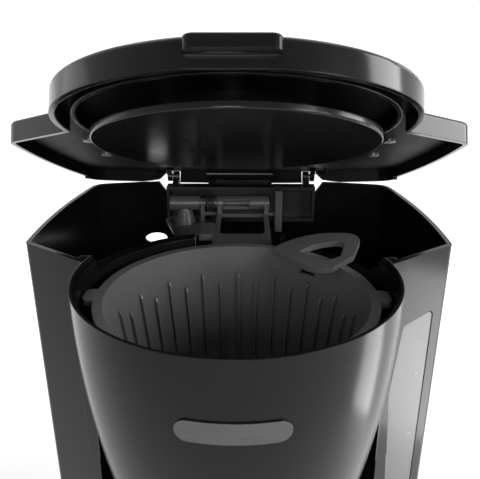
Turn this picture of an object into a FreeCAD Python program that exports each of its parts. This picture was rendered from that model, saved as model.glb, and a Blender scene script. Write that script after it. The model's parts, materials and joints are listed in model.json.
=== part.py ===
import FreeCAD, Part
import math
import os

# Drip coffee maker, millimetres. +Z is up, +Y is the back, +X is the right-hand side.
# The origin is on the table, under the middle of the machine's box with the lid ajar.
# Heights of the brew head are counted down from the rim of the housing.

RIM_Z = 298.0            # top edge of the housing and of the brew bowl
WALL = 2.6               # moulded wall

# plan of the housing at its rim
HALF_WIDTH = 110.0       # at the front corners of the pillars
HORN_X = 75.2            # inner edge of each pillar's slanting front face
HORN_Y = -24.5
BACK_HALF_WIDTH = 101.5
BACK_CORNER_Y = 117.0
BACK_MID_Y = 129.0       # the back bulges
SIDE_BULGE = 4.0
WING_ROUND = 5.0
BACK_ROUND = 10.0
HORN_ROUND = 3.5
FOOT_SHRINK = 0.973      # width of the column at its foot over its width at the rim

# brew bowl and everything on its axis
BOWL_Y = -36.0
BOWL_R = 74.3
BOWL_DEPTH = 125.0
BOWL_HOLE_R = 14.0       # for the drip-stop boss
BAY_R = 76.0             # cylindrical back of the carafe bay
HOLDER_DROP = 8.5        # the back of the holder is this much lower than the rim
HOLDER_LOW_DROP = 20.0   # lower edge of the ring at the back of the holder
HOLDER_FRONT_Y = -17.0   # the back of the holder starts here
BOWL_SEAM_DROP = 105.0   # the bowl's floor is welded to its wall here
BRIDGE_DROP = 15.0       # top of the bridge that carries the water tube
BRIDGE_THICK = 2.4

# base
BASE_TOP = 40.0
BASE_BOTTOM = 3.0
BASE_FRONT_R = 107.0
BASE_FRONT_Y = -133.54
COLUMN_FOOT = BASE_TOP
TANK_FLOOR = 52.0
FLOOR_THICK = 3.0
PLATE_R = 64.0
PLATE_TOP = 42.0

# lid, drawn closed and then turned open
LID_OVERHANG = 4.2
LID_GAP = 0.4            # over the housing rim when closed
LID_HEIGHT = 11.4
LID_SKIN = 2.4
HINGE_Y = 127.0
HINGE_Z = RIM_Z + 3.2
HINGE_PIN_R = 1.75
LID_AJAR = 22.8          # degrees open as stored
DISC_R = 62.5
DISC_Y = -35.5
DISC_THICK = 2.8
DISC_DROP = 7.7          # spray disc's lower face under the rim

# basket
RING_DROP = 11.0         # basket rim under the housing rim
BASKET_TOP_R = 61.0      # inside
BASKET_FLOOR_R = 50.6
BASKET_FLOOR_DROP = 93.0
RING_R = 65.5
RIB_COUNT = 36

# drip-stop valve
VALVE_TIP_DROP = 127.5
VALVE_BOSS_R = 11.0

# water path
TUBE_Y = 103.0
TUBE_DROP = 9.4
TUBE_R = 5.0
RISER_X = -38.0
OUTLET_X = 38.0
OUTLET_Y = 90.0
FLOOR_HOLE_R = 7.0
HOSE_R = 6.8
SPIGOT_R = 5.0           # pipe ends that the hoses are pushed over
SPIGOT_BORE = 3.4

# carafe
GLASS_BOTTOM = PLATE_TOP + 0.3
GLASS_R = 69.0
GLASS_WALL = 2.0
NECK_R = 50.0
NECK_Z = 147.0
CARAFE_TOP = RIM_Z - BOWL_DEPTH - 3.2

V = FreeCAD.Vector
UP = V(0, 0, 1)
AXIS = V(0, BOWL_Y, 0)


# ---------------------------------------------------------------- helpers

def box(x0, x1, y0, y1, z0, z1):
    return Part.makeBox(x1 - x0, y1 - y0, z1 - z0, V(x0, y0, z0))


def post(r, z0, z1, x=0.0, y=BOWL_Y):
    return Part.makeCylinder(r, z1 - z0, V(x, y, z0), UP)


def rod_x(r, x0, x1, y, z):
    return Part.makeCylinder(r, x1 - x0, V(x0, y, z), V(1, 0, 0))


def rod_y(r, y0, y1, x, z):
    return Part.makeCylinder(r, y1 - y0, V(x, y0, z), V(0, 1, 0))


def ring(r_out, r_in, z0, z1, x=0.0, y=BOWL_Y):
    return post(r_out, z0, z1, x, y).cut(post(r_in, z0 - 1, z1 + 1, x, y))


def fused(shapes):
    first = shapes[0]
    if len(shapes) == 1:
        return first
    return first.multiFuse(shapes[1:]).removeSplitter()


def mirrored(shape):
    return shape.mirror(V(0, 0, 0), V(1, 0, 0))


def both_sides(shape):
    return [shape, mirrored(shape)]


def line(a, b):
    return Part.makeLine(a, b)


def arc(a, b, c):
    return Part.Arc(a, b, c).toShape()


def path_wire(path, place):
    """A wire from [point, point, ...]; a pair of points inside the list is an arc's (middle, end)."""
    edges = []
    here = place(*path[0])
    for step in path[1:]:
        if isinstance(step[0], tuple):
            middle, end = place(*step[0]), place(*step[1])
            edges.append(arc(here, middle, end))
        else:
            end = place(*step)
            edges.append(line(here, end))
        here = end
    return Part.Wire(edges)


def spun(path, angle=360.0, y=BOWL_Y):
    """Solid of revolution about the vertical at y; path is given as (radius, height)."""
    wire = path_wire(path, lambda r, z: V(r, y, z))
    return Part.Face(wire).revolve(V(0, y, 0), UP, angle)


def plate(path, z, height):
    """Upright prism of an outline given as (x, y)."""
    wire = path_wire(path, lambda x, y: V(x, y, z))
    return Part.Face(wire).extrude(V(0, 0, height))


def slab_xz(path, y, depth):
    """Prism along +Y of an outline given as (x, z)."""
    wire = path_wire(path, lambda x, z: V(x, y, z))
    return Part.Face(wire).extrude(V(0, depth, 0))


def slab_yz(path, x, depth):
    """Prism along +X of an outline given as (y, z)."""
    wire = path_wire(path, lambda y, z: V(x, y, z))
    return Part.Face(wire).extrude(V(depth, 0, 0))


def upright_edges(solid, places, reach=4.0):
    """Edges of a solid that run from its bottom to its top near any of the given (x, y) places."""
    levels = [v.Z for v in solid.Vertexes]
    height = 0.9 * (max(levels) - min(levels))
    found = []
    for edge in solid.Edges:
        top = max((v.Point for v in edge.Vertexes), key=lambda p: p.z)
        near = any(math.hypot(top.x - x, top.y - y) < reach for x, y in places)
        if near and edge.BoundBox.ZLength > height:
            found.append(edge)
    return found


def rounded_uprights(solid, radius, places):
    return solid.makeFillet(radius, upright_edges(solid, places))


def rounded_edges_at(solid, radius, z):
    """Round every edge that lies flat at height z."""
    flat = [e for e in solid.Edges if abs(e.BoundBox.ZMin - z) < 0.01 and abs(e.BoundBox.ZMax - z) < 0.01]
    return solid.makeFillet(radius, flat)


def hose(points, bend, r_out, r_in):
    """Round hose along straight runs that are joined by tangent arcs of radius bend."""
    spots = [V(*p) for p in points]
    edges = []
    here = spots[0]
    for before, corner, after in zip(spots, spots[1:], spots[2:]):
        back = (before - corner).normalize()
        ahead = (after - corner).normalize()
        half = back.getAngle(ahead) / 2
        reach = bend / math.tan(half)
        start, end = corner + back * reach, corner + ahead * reach
        middle = corner + (back + ahead).normalize() * (bend / math.sin(half) - bend)
        edges.append(line(here, start))
        edges.append(arc(start, middle, end))
        here = end
    edges.append(line(here, spots[-1]))
    spine = Part.Wire(edges)
    direction = (spots[1] - spots[0]).normalize()
    tubes = []
    for r in (r_out, r_in):
        circle = Part.Wire(Part.makeCircle(r, spots[0], direction))
        tubes.append(spine.makePipeShell([circle], True, True))
    return tubes[0].cut(tubes[1]) if r_in else tubes[0]


# ---------------------------------------------------------------- housing plan

def face_crossing(inset, radius):
    """Where the pillar's front face, moved in by inset, crosses a circle round the bowl's axis."""
    slope = math.hypot(HALF_WIDTH - HORN_X, HORN_Y)
    ux, uy = (HORN_X - HALF_WIDTH) / slope, HORN_Y / slope
    px, py = HALF_WIDTH + inset * uy, -inset * ux - BOWL_Y
    b = px * ux + py * uy
    c = px * px + py * py - radius * radius
    t = -b - math.sqrt(b * b - c)
    return px + t * ux, py + t * uy + BOWL_Y


def horn_point(inset):
    """Inner end of the pillar's front face, just inside the bay wall."""
    return face_crossing(inset, BAY_R + inset - 0.5)


def wing_point(inset):
    """Outer corner of the pillar, moved in by inset along both of its faces."""
    slope = math.hypot(HALF_WIDTH - HORN_X, HORN_Y)
    ux, uy = (HORN_X - HALF_WIDTH) / slope, HORN_Y / slope
    t = inset * (-1 - uy) / ux
    return HALF_WIDTH - inset, -inset * ux + t * uy


def column_wire(inset, z, shrink=1.0, horn=None):
    """Plan of the column at height z, closed straight across the bay."""
    wx, wy = wing_point(inset)
    hx, hy = horn or horn_point(inset)
    bx, by = BACK_HALF_WIDTH - inset, BACK_CORNER_Y - inset
    mx, my = (HALF_WIDTH + BACK_HALF_WIDTH) / 2 + SIDE_BULGE - inset, (wy + by) / 2
    right = [(hx, hy), (wx, wy), ((mx, my), (bx, by))]
    left = [((0.0, BACK_MID_Y - inset), (-bx, by)), ((-mx, my), (-wx, wy)), (-hx, hy), (hx, hy)]
    return path_wire(right + left, lambda x, y: V(x * shrink, y, z))


def shrink_at(z):
    return 1.0 - (1.0 - FOOT_SHRINK) * (RIM_Z - z) / (RIM_Z - COLUMN_FOOT)


def column_block(inset, z0, z1, wing_round, back_round):
    """Filled column between two heights, tapering in width, with rounded corners."""
    solid = Part.makeLoft([column_wire(inset, z, shrink_at(z)) for z in (z0, z1)], True, True)
    scale = shrink_at(z1)
    wx, wy = wing_point(inset)
    bx, by = BACK_HALF_WIDTH - inset, BACK_CORNER_Y - inset
    solid = rounded_uprights(solid, wing_round, [(s * wx * scale, wy) for s in (1, -1)])
    return rounded_uprights(solid, back_round, [(s * bx * scale, by) for s in (1, -1)])


def head_block(grow, z0, z1):
    """Whole outline of the rim, column and bowl together, grown outward; straight sides."""
    horn = face_crossing(-grow, BOWL_R + grow - 4.0)
    face = Part.Face(column_wire(-grow, z0, 1.0, horn))
    solid = face.extrude(V(0, 0, z1 - z0)).fuse(post(BOWL_R + grow, z0, z1)).removeSplitter()
    wx, wy = wing_point(-grow)
    bx, by = BACK_HALF_WIDTH + grow, BACK_CORNER_Y + grow
    solid = rounded_uprights(solid, WING_ROUND + grow, [(wx, wy), (-wx, wy)])
    solid = rounded_uprights(solid, BACK_ROUND + grow, [(bx, by), (-bx, by)])
    hx, hy = face_crossing(-grow, BOWL_R + grow)
    return rounded_uprights(solid, HORN_ROUND, [(hx, hy), (-hx, hy)])


# ---------------------------------------------------------------- main housing

OVERFLOW_X = -61.8       # overflow hole through the back wall
OVERFLOW_DROP = 42.1
OVERFLOW_SIZE = (7.8, 4.2)
NOTCH_TOP_X = 57.8       # notch in the back wall for the lid hinge
NOTCH_LOW_X = 53.0
NOTCH_DROP = 7.0
NOTCH_MID_X = 47.0
NOTCH_MID_DROP = 4.6
INLET_X = 62.0           # power cord inlet through the back of the base
INLET_Z = 20.0
INLET_R = 7.0


def bay_cylinder(grow, z0, z1):
    return post(BAY_R + grow, z0, z1)


def horn_webs():
    """Fills the step between each pillar and the bowl, with a rounded inside corner."""
    z0 = RIM_Z - 115.0
    block = head_block(0.0, z0, RIM_Z).cut(post(BOWL_R, z0 - 1, RIM_Z + 1)).cut(tank_space())
    spans = [sorted((side * 68.0, side * 82.0)) for side in (1, -1)]
    return [block.common(box(x0, x1, -28.0, HOLDER_FRONT_Y, z0, RIM_Z)) for x0, x1 in spans]


def notch_cutter():
    """Stepped notch in the top edge of the back wall."""
    right = [(NOTCH_MID_X, RIM_Z - NOTCH_MID_DROP), (NOTCH_MID_X, RIM_Z - NOTCH_DROP),
             (NOTCH_LOW_X, RIM_Z - NOTCH_DROP), (NOTCH_TOP_X, RIM_Z), (NOTCH_TOP_X, RIM_Z + 1)]
    left = [(-x, z) for x, z in reversed(right)]
    return slab_xz(left + right + left[:1], 108.0, 30.0)


def overflow_cutter():
    ellipse = Part.Ellipse(V(0, 0, 0), OVERFLOW_SIZE[0], OVERFLOW_SIZE[1])
    face = Part.Face(Part.Wire(ellipse.toShape()))
    face.rotate(V(0, 0, 0), V(1, 0, 0), 90)
    face.translate(V(OVERFLOW_X, 140.0, RIM_Z - OVERFLOW_DROP))
    return face.extrude(V(0, -35.0, 0))


def window_path(grow):
    """Water window on the right pillar's front face: across the face from its outer corner, and height."""
    top, bottom = RIM_Z - 34.5 + grow, 92.0 - grow
    return [(9.2 - grow, top), (9.2 - grow, bottom), (25.0 + grow, bottom),
            (37.0 + grow, RIM_Z - 75.0), (31.0 + grow, top - 3.0), (9.2 - grow, top)]


def pillar_frame():
    """Unit vectors of the right pillar's front face: across it (inward) and out of it."""
    slope = math.hypot(HALF_WIDTH - HORN_X, HORN_Y)
    across = V((HORN_X - HALF_WIDTH) / slope, HORN_Y / slope, 0)
    return across, V(-across.y, across.x, 0)


def window_prism(grow, inward, outward, corner):
    """Prism of the window outline, from inward behind the face to outward in front of it."""
    across, out = pillar_frame()
    middle_x = HALF_WIDTH - 18.0
    tilt = (1.0 - FOOT_SHRINK) * middle_x / (RIM_Z - COLUMN_FOOT)

    def place(u, z):
        lean = V(-tilt * (RIM_Z - z), 0, 0)
        return V(HALF_WIDTH, 0, z) + across * u + lean - out * inward

    wire = path_wire(window_path(grow), place)
    solid = Part.Face(wire).extrude(out * (inward + outward))
    edges = [e for e in solid.Edges if e.Length < inward + outward + 0.01
             and abs(e.Length - inward - outward) < 0.01]
    return solid.makeFillet(corner, edges)


def column_inside():
    """Everything between the column's walls, from its foot to the rim, behind the bay wall."""
    block = column_block(WALL, COLUMN_FOOT, RIM_Z, WING_ROUND - WALL, BACK_ROUND - WALL)
    return block.cut(bay_cylinder(WALL, 0, RIM_Z + 1))


def tank_space():
    return column_inside().common(box(-130, 130, -60, 140, TANK_FLOOR, RIM_Z))


def bay_tube():
    """The curved wall behind the carafe, from pillar to pillar."""
    tube = ring(BAY_R + WALL, BAY_R, COLUMN_FOOT, RIM_Z)
    return tube.common(column_block(0.0, COLUMN_FOOT, RIM_Z, WING_ROUND, BACK_ROUND))


def main_housing():
    """Pillars, sides and back of the column, with the webs that join the pillars to the bowl."""
    outer = column_block(0.0, COLUMN_FOOT, RIM_Z, WING_ROUND, BACK_ROUND)
    outer = outer.cut(bay_cylinder(WALL, 0, RIM_Z + 1)).cut(column_inside())
    pillar_ends = bay_tube().common(box(-90, 90, -60, HOLDER_FRONT_Y, 0, RIM_Z + 1))
    shell = fused([outer] + pillar_ends.Solids + horn_webs())
    shell = shell.cut(notch_cutter()).cut(overflow_cutter())
    return shell.cut(window_prism(0.3, WALL + 0.1, 3.0, 3.0))


def bay_wall():
    return bay_tube().common(box(-90, 90, HOLDER_FRONT_Y, 60, 0, RIM_Z - HOLDER_LOW_DROP))


def tank_floor():
    floor = column_inside().common(box(-130, 130, -60, 140, TANK_FLOOR - FLOOR_THICK, TANK_FLOOR))
    for x, y in ((OUTLET_X, OUTLET_Y), (RISER_X, TUBE_Y)):
        floor = floor.cut(post(FLOOR_HOLE_R, TANK_FLOOR - 5, TANK_FLOOR + 2, x, y))
    return floor


def holder_ring():
    """Ring round the back of the basket, from the bowl's inside to the bay wall's outside."""
    low, top = RIM_Z - HOLDER_LOW_DROP, RIM_Z - HOLDER_DROP
    band = ring(BAY_R + WALL, BOWL_R - 10.0, low, top).common(box(-90, 90, HOLDER_FRONT_Y, 60, low, top))
    return band.cut(filled_bowl(WALL)).cut(handle_gap()).cut(arm_gap())


def handle_gap():
    """The holder wall is lower at the right, where the basket handle passes over it."""
    z0 = RIM_Z - 15.0
    sector = ring(BAY_R + WALL + 0.02, 66.0, z0, RIM_Z + 1)
    wedge = plate([(0.0, BOWL_Y), (36.0, BOWL_Y + 100.0), (100.0, BOWL_Y + 100.0), (100.0, BOWL_Y + 38.0),
                   (0.0, BOWL_Y)], z0, 16.0)
    return sector.common(wedge)


def arm_gap():
    """The holder wall is cut down at the back for the bridge and for the lid's spray arm."""
    return box(-25.5, 23.5, 0.0, 60.0, RIM_Z - BRIDGE_DROP - BRIDGE_THICK - 0.05, RIM_Z + 1)


# ---------------------------------------------------------------- brew bowl

def bowl_outline(inset):
    """Outer (inset 0) or inner side of the bowl as (radius, height), from the rim to the flat bottom."""
    def at(r, drop):
        return (r, RIM_Z - drop)
    return [at(BOWL_R - inset, 0.0),
            (at(70.2 - inset, 57.5), at(61.0 - inset, 105.0)),
            (at(55.0 - 0.85 * inset, 116.3 - 0.4 * inset), at(42.0 - 0.2 * inset, BOWL_DEPTH - inset))]


def filled_bowl(inset):
    """Solid inside the bowl's outer face (inset 0) or inside its inner face (inset WALL)."""
    path = bowl_outline(inset)
    return spun(path + [(0.0, RIM_Z - BOWL_DEPTH + inset), (0.0, RIM_Z), path[0]])


def bowl_shell():
    """The whole bowl, with the hole in its floor and the step inside its rim."""
    shell = filled_bowl(0.0).cut(filled_bowl(WALL)).cut(post(BOWL_HOLE_R, 0, RIM_Z))
    step = ring(BOWL_R - WALL + 1.2, BOWL_R - WALL - 1, RIM_Z - 2.2, RIM_Z + 1)
    return shell.cut(step)


def brew_bowl():
    seam = RIM_Z - BOWL_SEAM_DROP
    wall = bowl_shell().common(box(-90, 90, -120, 60, seam, RIM_Z + 1))
    wall = wall.cut(box(-90, 90, HOLDER_FRONT_Y, 60, RIM_Z - HOLDER_LOW_DROP, RIM_Z + 1))
    shelves = []
    for side in (1, -1):
        shelf = box(side * 71.0 - 2.6, side * 71.0 + 2.6, BOWL_Y - 9.0, BOWL_Y + 9.0,
                    RIM_Z - 24.0, RIM_Z - RING_DROP - 3.7)
        shelves.append(shelf.common(post(BOWL_R - WALL + 0.2, 0, RIM_Z)))
    return fused([wall] + shelves)


def bowl_floor():
    return bowl_shell().common(box(-90, 90, -120, 60, 0, RIM_Z - BOWL_SEAM_DROP))


def badge_plate():
    """Blank satin plate on the front of the bowl, curved like it."""
    half, low, high = 21.8, RIM_Z - 36.3, RIM_Z - 26.6
    r = (high - low) / 2
    mid = (low + high) / 2
    outline = slab_xz([(-half + r, low), (half - r, low), ((half, mid), (half - r, high)), (-half + r, high),
                       ((-half, mid), (-half + r, low))], BOWL_Y - 90.0, 60.0)
    skin = spun([(BOWL_R - 1.95, high + 3), (BOWL_R - 3.0, low - 3), (BOWL_R - 1.0, low - 3),
                 (BOWL_R, high + 3), (BOWL_R - 1.95, high + 3)])
    return outline.common(skin).cut(filled_bowl(0.0))


# ---------------------------------------------------------------- water window

def water_window():
    return window_prism(0.0, 2.4, -0.3, 3.0)


def window_seal():
    """Soft frame behind the window that seals it to the pillar."""
    frame = window_prism(2.2, 4.7, -2.75, 5.0).cut(window_prism(-2.0, 6.0, 1.0, 1.5))
    return frame.common(tank_space())


# ---------------------------------------------------------------- lid (drawn closed)

EAR_IN, EAR_OUT = 48.6, 52.0     # lid's hinge ears
LUG_IN, LUG_OUT = 43.8, 48.0     # housing's hinge lugs
EAR_R = 3.6
CEILING = LID_HEIGHT - LID_SKIN
GAP_IN, GAP_OUT = 43.4, 58.6     # cut in the lid's back edge round each hinge lug
GAP_TOP_X = 53.4
GAP_ROOF = 7.2                   # over the rim, just clear of the lug


def turned_open(shape):
    shape = shape.copy()
    shape.rotate(V(0, HINGE_Y, HINGE_Z), V(1, 0, 0), -LID_AJAR)
    return shape


def lid_cavity(z0, z1, grow=LID_OVERHANG - LID_SKIN):
    return head_block(grow, z0, z1)


def lid_shell():
    low, top = RIM_Z + LID_GAP, RIM_Z + LID_HEIGHT
    block = head_block(LID_OVERHANG, low - 1.4, top)
    block = rounded_edges_at(block, 2.2, top)
    block = block.cut(box(-130, 130, -130, HINGE_Y - 15, low - 2, low))
    for side in (1, -1):
        block = block.cut(slab_xz([(side * x, z) for x, z in back_edge_cut()], 100.0, 40.0))
    shell = block.cut(lid_cavity(low - 2, RIM_Z + CEILING))
    for side in (1, -1):
        gap = slab_xz([(side * GAP_IN, low - 3), (side * GAP_OUT, low - 3), (side * GAP_OUT, low),
                       (side * GAP_TOP_X, RIM_Z + 5.6), (side * GAP_TOP_X, RIM_Z + GAP_ROOF),
                       (side * GAP_IN, RIM_Z + GAP_ROOF), (side * GAP_IN, low - 3)], 112.0, 25.0)
        shell = shell.cut(gap)
        x0, x1 = sorted((side * EAR_IN, side * EAR_OUT))
        ear = rod_x(EAR_R, x0, x1, HINGE_Y, HINGE_Z)
        ear = ear.fuse(box(x0, x1, HINGE_Y - 9.0, HINGE_Y + EAR_R, HINGE_Z, RIM_Z + CEILING + 0.2))
        shell = shell.fuse(ear).cut(rod_x(HINGE_PIN_R + 0.05, x0 - 0.5, x1 + 0.5, HINGE_Y, HINGE_Z))
    rear_edge = box(-60, 60, HINGE_Y + EAR_R + 0.3, 140, RIM_Z + CEILING, top + 1)
    front_x, depth = 17.5, 1.5
    recess = box(-front_x, front_x, BOWL_Y - 90, BOWL_Y - BOWL_R - LID_OVERHANG + depth, low - 2, RIM_Z + 5.0)
    for side in (1, -1):
        x0, x1 = sorted((side * GAP_IN, side * NOTCH_TOP_X))
        shell = shell.cut(rear_edge.common(box(x0, x1, 0, 200, 0, 400)))
    shell = shell.cut(recess)
    dish = post(66.0, top - 0.8, top + 1)
    return turned_open(shell.cut(dish).removeSplitter())


def back_edge_cut():
    """What is taken off the lid's back edge beside the notch, so that it swings clear of the rim."""
    outer = RIM_Z - 0.85
    return [(NOTCH_TOP_X, RIM_Z - 3), (NOTCH_TOP_X, RIM_Z + 1.05), (64.0, RIM_Z - 0.05), (70.0, outer),
            (130.0, outer), (130.0, RIM_Z - 3), (NOTCH_TOP_X, RIM_Z - 3)]


LINER_TOP = RIM_Z + CEILING
LINER_LOW = LINER_TOP - 1.8


def lid_liner():
    panel = head_block(LID_OVERHANG - LID_SKIN - 0.3, LINER_LOW, LINER_TOP)
    for side in (1, -1):
        x0, x1 = sorted((side * 42.0, side * 59.0))
        panel = panel.cut(box(x0, x1, 112, 140, LINER_LOW - 1, LINER_TOP + 1))
    return turned_open(panel)


def liner_skirt():
    """Splash ring under the lid, open at the back for the spray arm."""
    skirt = ring(70.0, 68.2, RIM_Z + 1.6, LINER_LOW)
    return turned_open(skirt.cut(box(-22, 22, 0, 60, 0, LINER_TOP)))


def disc_cup():
    """Round chamber between the lid's liner and the spray disc."""
    cup = ring(34.0, 32.0, RIM_Z - DISC_DROP + DISC_THICK, LINER_LOW, 0, DISC_Y)
    return turned_open(cup.cut(box(-20.5, 20.5, -20, 60, 0, LINER_TOP)))


def thumb_tab():
    """Rounded lip at the front that the lid is lifted by."""
    half, back, front = 15.6, -104.0, -117.6
    z0, z1 = RIM_Z + 5.4, RIM_Z + LID_HEIGHT - 0.8
    lip = box(-half, half, front, back, z0, z1)
    uprights = [e for e in lip.Edges if abs(e.Length - (z1 - z0)) < 0.01 and e.BoundBox.YMax < front + 1]
    lip = lip.makeFillet(3.5, uprights)
    lip = rounded_edges_at(lip, 1.2, z1)
    lid = head_block(LID_OVERHANG, RIM_Z, RIM_Z + LID_HEIGHT)
    lid = rounded_edges_at(lid, 2.2, RIM_Z + LID_HEIGHT)
    return turned_open(lip.cut(lid))


def spray_disc():
    low = RIM_Z - DISC_DROP
    disc = post(DISC_R, low, low + DISC_THICK, 0, DISC_Y)
    disc = rounded_edges_at(disc, 0.8, low)
    for side in (1, -1):
        x0, x1 = sorted((side * 20.2, side * 23.4))
        disc = disc.cut(box(x0, x1, 14.0, 40.0, low - 1, low + 4))
    for i in range(12):
        a = math.radians(30.0 * i)
        disc = disc.cut(post(1.2, low - 1, low + 4, 24.0 * math.sin(a), DISC_Y + 24.0 * math.cos(a)))
    return turned_open(disc)


def spray_neck():
    """Hollow arm that feeds the spray disc; its mouth comes down in front of the water tube."""
    low, top = RIM_Z - DISC_DROP + DISC_THICK, LINER_LOW
    y0, y1, half = DISC_Y + 30.0, 88.0, 20.0
    arm = box(-half, half, y0, 60.0, low, top)
    block = box(-half, half, 60.0, y1, low - 3.6, top)
    long_edges = [e for e in block.Edges if abs(e.Length - 2 * half) < 0.01 and e.BoundBox.ZMax < low - 3]
    block = block.makeFillet(4.0, long_edges)
    bore = box(-half + 2, half - 2, y0 + 2, y1 + 1, low + 1.0, top - 2.0)
    cup = post(34.0, low - 1, top + 1, 0, DISC_Y)
    return turned_open(arm.fuse(block).removeSplitter().cut(bore).cut(cup))


def lid_screws():
    low = LINER_LOW - 1.6
    spots = [(80.0, 60.0), (80.0, 20.0)]
    screws = []
    for x, y in spots:
        for side in (1, -1):
            head = post(3.2, low, low + 1.6, side * x, y)
            slot = [box(side * x - 2, side * x + 2, y - 0.4, y + 0.4, low - 1, low + 0.7),
                    box(side * x - 0.4, side * x + 0.4, y - 2, y + 2, low - 1, low + 0.7)]
            screws.append(head.cut(slot[0]).cut(slot[1]))
    return turned_open(Part.makeCompound(screws))


# ---------------------------------------------------------------- hinge and water tube (fixed)

BLOCK_FRONT_Y = 111.0
SOCKET_R = 13.6          # rim of the cup that the elbow stands in
SOCKET_DROP = 21.5


def hinge_block():
    """Block in the notch of the back wall with a deep pocket each side and two lugs for the pins."""
    half = 51.5
    back = BACK_MID_Y - WALL - 0.2
    low, top = RIM_Z - 25.5, RIM_Z - 0.5
    block = box(-half, half, BLOCK_FRONT_Y, 121.0, low, top)
    rear = box(-half, half, 121.0, back, low, RIM_Z - NOTCH_MID_DROP - 0.1)
    block = block.fuse(rear).removeSplitter()
    for x0, x1 in ((-49.5, -20.0), (22.0, 49.5)):
        block = block.cut(box(x0, x1, BLOCK_FRONT_Y - 1, 119.5, low + 2.0, top - 2.5))
    for side in (1, -1):
        x0, x1 = sorted((side * LUG_IN, side * LUG_OUT))
        lug = rod_x(EAR_R, x0, x1, HINGE_Y, HINGE_Z)
        web = slab_yz([(117.0, RIM_Z - 8.0), (HINGE_Y + EAR_R, RIM_Z - 4.4), (HINGE_Y + EAR_R, HINGE_Z),
                       (HINGE_Y - EAR_R, HINGE_Z), (117.0, RIM_Z - 1.0), (117.0, RIM_Z - 8.0)], x0, x1 - x0)
        block = block.fuse(lug).fuse(web)
        block = block.cut(rod_x(HINGE_PIN_R, x0 - 0.1, x1 + 0.1, HINGE_Y, HINGE_Z))
    cradle = post(SOCKET_R + 0.05, low - 1, RIM_Z - SOCKET_DROP + 0.3, RISER_X, TUBE_Y)
    return block.removeSplitter().common(back_clear()).cut(cradle)


def back_clear():
    """Space inside the housing, and the notch and the air above it."""
    inside = column_block(WALL + 0.02, TANK_FLOOR, RIM_Z, WING_ROUND - WALL, BACK_ROUND - WALL)
    above = box(-60, 60, 100, 140, RIM_Z - 4.4, RIM_Z + 20)
    return inside.fuse(above)


def hinge_pins():
    pins = []
    for side in (1, -1):
        x0, x1 = sorted((side * (LUG_IN + 0.1), side * (EAR_OUT + 0.4)))
        pins.append(rod_x(HINGE_PIN_R, x0, x1, HINGE_Y, HINGE_Z))
    return Part.makeCompound(pins)


TUBE_LEFT, TUBE_JOINT, SPOUT_RIGHT = -48.5, -27.5, 19.6
TUBE_Z = RIM_Z - TUBE_DROP


def water_tube():
    """Closed cross tube with a cone-shaped elbow that stands in the riser socket."""
    body = rod_x(TUBE_R, TUBE_LEFT, TUBE_JOINT, TUBE_Y, TUBE_Z)
    body = rounded_ends(body, TUBE_LEFT, 1.2)
    journal = rod_x(3.4, TUBE_JOINT, -15.8, TUBE_Y, TUBE_Z)
    elbow_low = RIM_Z - 25.0
    cone = Part.makeCone(8.6, 3.6, TUBE_Z - 2.0 - elbow_low, V(RISER_X, TUBE_Y, elbow_low), UP)
    ribs = []
    for i in range(5):
        r, z = 8.7 - 0.8 * i, elbow_low + 1.2 + 2.0 * i
        ribs.append(Part.makeCone(r, r - 0.3, 0.8, V(RISER_X, TUBE_Y, z), UP))
    solid = fused([body, journal, cone] + ribs)
    solid = solid.cut(rod_x(2.4, TUBE_LEFT + 2, -15.0, TUBE_Y, TUBE_Z))
    return solid.cut(post(2.4, elbow_low - 1, TUBE_Z, RISER_X, TUBE_Y))


def rounded_ends(rod, x, radius):
    return rod.makeFillet(radius, [e for e in rod.Edges if abs(e.BoundBox.XMax - x) < 0.01])


def spout_tube():
    """Right half of the cross tube, with the port that faces the spray arm."""
    body = rod_x(TUBE_R, -15.6, SPOUT_RIGHT, TUBE_Y, TUBE_Z)
    body = rounded_ends(body, SPOUT_RIGHT, 0.8)
    neck = rod_x(4.2, -17.0, -15.6, TUBE_Y, TUBE_Z)
    solid = body.fuse(neck).cut(rod_x(3.2, -18.0, SPOUT_RIGHT - 2, TUBE_Y, TUBE_Z))
    solid = solid.cut(rod_x(3.5, -18.0, -15.0, TUBE_Y, TUBE_Z))
    port = box(-11.5, 6.0, TUBE_Y - 8, TUBE_Y - 2.8, TUBE_Z - 3.2, TUBE_Z + 3.2)
    return solid.cut(port).removeSplitter()


def tube_seals():
    rings = [Part.makeTorus(4.5, 1.0, V(x, TUBE_Y, TUBE_Z), V(1, 0, 0)) for x in (-22.4, -19.2)]
    return Part.makeCompound(rings)


def riser_socket():
    """Round cup on top of the riser hose that holds the elbow."""
    top = RIM_Z - SOCKET_DROP
    low = RIM_Z - 33.0
    cup = Part.makeCone(8.0, SOCKET_R, top - low, V(RISER_X, TUBE_Y, low), UP)
    cup = cup.cut(Part.makeCone(6.0, SOCKET_R - 2.0, top - low - 2.0, V(RISER_X, TUBE_Y, low + 2.0), UP))
    cup = cup.cut(post(SOCKET_R - 2.0, top - 0.1, top + 1, RISER_X, TUBE_Y))
    spigot = post(SPIGOT_R, low - 14.0, low + 2.0, RISER_X, TUBE_Y)
    return cup.fuse(spigot).removeSplitter().cut(post(SPIGOT_BORE, low - 15, top, RISER_X, TUBE_Y))


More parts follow.
